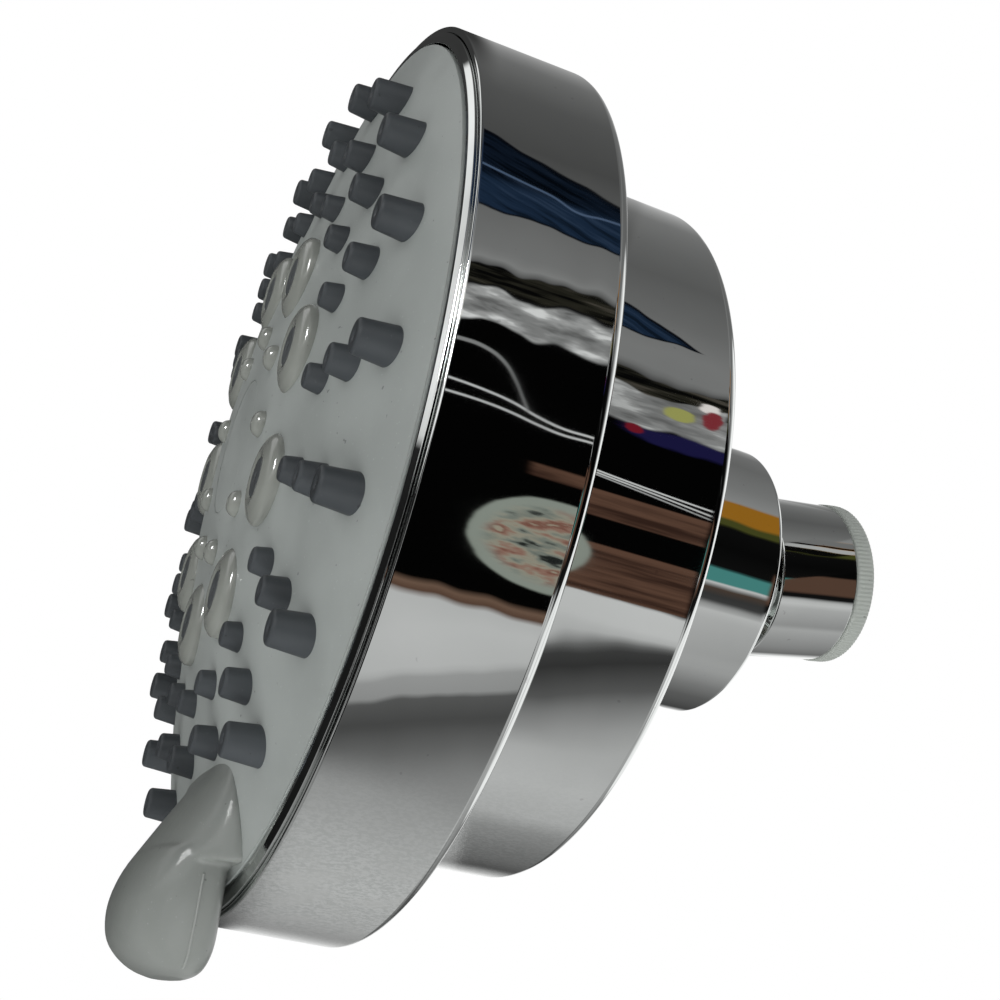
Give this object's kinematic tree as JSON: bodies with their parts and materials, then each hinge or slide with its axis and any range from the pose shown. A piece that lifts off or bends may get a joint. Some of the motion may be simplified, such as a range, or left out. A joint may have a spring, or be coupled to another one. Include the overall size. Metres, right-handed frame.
{
  "type": "shower head",
  "caption": "Round stepped chrome shower head with a swivel ball inlet, a grey domed face of rubber nozzles and a selector lever.",
  "frame": {"origin": "centre of the inlet's mouth, in the plane of its end face", "axes": "+Z runs along the head's own axis, from the spray face toward the inlet; the stem leans from it toward +Y; -Y is the middle of the selector lever's travel"},
  "size_m": [0.1208, 0.125, 0.0996],
  "materials": {
    "trim_ring": "mirror chrome plate",
    "rear_shell": "mirror chrome plate",
    "ball_socket": "dark moulded plastic",
    "ball_nut": "mirror chrome plate",
    "nut_seal": "black rubber",
    "ball_liner": "natural plastic",
    "ball_seal": "black rubber",
    "ball_stem": "white moulded plastic",
    "inlet_sleeve": "mirror chrome plate",
    "inlet_washer": "black rubber",
    "filter_screen": "fine steel screen",
    "flow_restrictor": "moulded plastic",
    "water_way": "dark moulded plastic",
    "tube_seal": "black rubber",
    "chamber_screws": "stainless steel",
    "face_seal": "black rubber",
    "port_seal": "black rubber",
    "port_spring": "spring steel",
    "centre_screw": "stainless steel",
    "screw_washer": "natural plastic",
    "face_plate": "light grey moulded plastic",
    "rubber_nozzles": "dark grey rubber",
    "spray_cups": "glossy warm grey plastic",
    "cup_plugs": "dark grey rubber",
    "centre_cap": "light grey moulded plastic",
    "selector_disc": "natural plastic",
    "turbine": "white plastic"
  },
  "bodies": {
    "inlet": {"ball_stem": "ball_stem", "inlet_sleeve": "inlet_sleeve", "inlet_washer": "inlet_washer", "filter_screen": "filter_screen", "flow_restrictor": "flow_restrictor"},
    "liner": {"ball_liner": "ball_liner"},
    "seat": {"ball_seal": "ball_seal"},
    "head": {"rear_shell": "rear_shell", "trim_ring": "trim_ring", "ball_socket": "ball_socket", "ball_nut": "ball_nut", "nut_seal": "nut_seal", "water_way": "water_way", "tube_seal": "tube_seal", "chamber_screws": "chamber_screws", "face_seal": "face_seal", "port_seal": "port_seal", "port_spring": "port_spring", "centre_screw": "centre_screw", "screw_washer": "screw_washer"},
    "face": {"face_plate": "face_plate", "rubber_nozzles": "rubber_nozzles", "spray_cups": "spray_cups", "cup_plugs": "cup_plugs", "centre_cap": "centre_cap", "selector_disc": "selector_disc"},
    "pulse_wheel": {"turbine": "turbine"}
  },
  "joints": [
    {"name": "ball_tilt_front", "type": "hinge", "parent": "inlet", "child": "liner", "pos_m": [0, -0.00471, -0.03044], "axis": [1, 0, 0], "range_deg": [-21.8, 4.2]},
    {"name": "ball_tilt_side", "type": "hinge", "parent": "liner", "child": "seat", "pos_m": [0, -0.00471, -0.03044], "axis": [0, 1, 0], "range_deg": [-10, 10]},
    {"name": "ball_spin", "type": "hinge", "parent": "seat", "child": "head", "pos_m": [0, -0.00471, -0.03044], "axis": [0, 0, 1], "continuous": true},
    {"name": "selector_turn", "type": "hinge", "parent": "head", "child": "face", "pos_m": [0, -0.00471, -0.08574], "axis": [0, 0, 1], "range_deg": [-21, 63]},
    {"name": "turbine_spin", "type": "hinge", "parent": "face", "child": "pulse_wheel", "pos_m": [0, -0.00471, -0.08574], "axis": [0, 0, 1], "continuous": true}
  ]
}
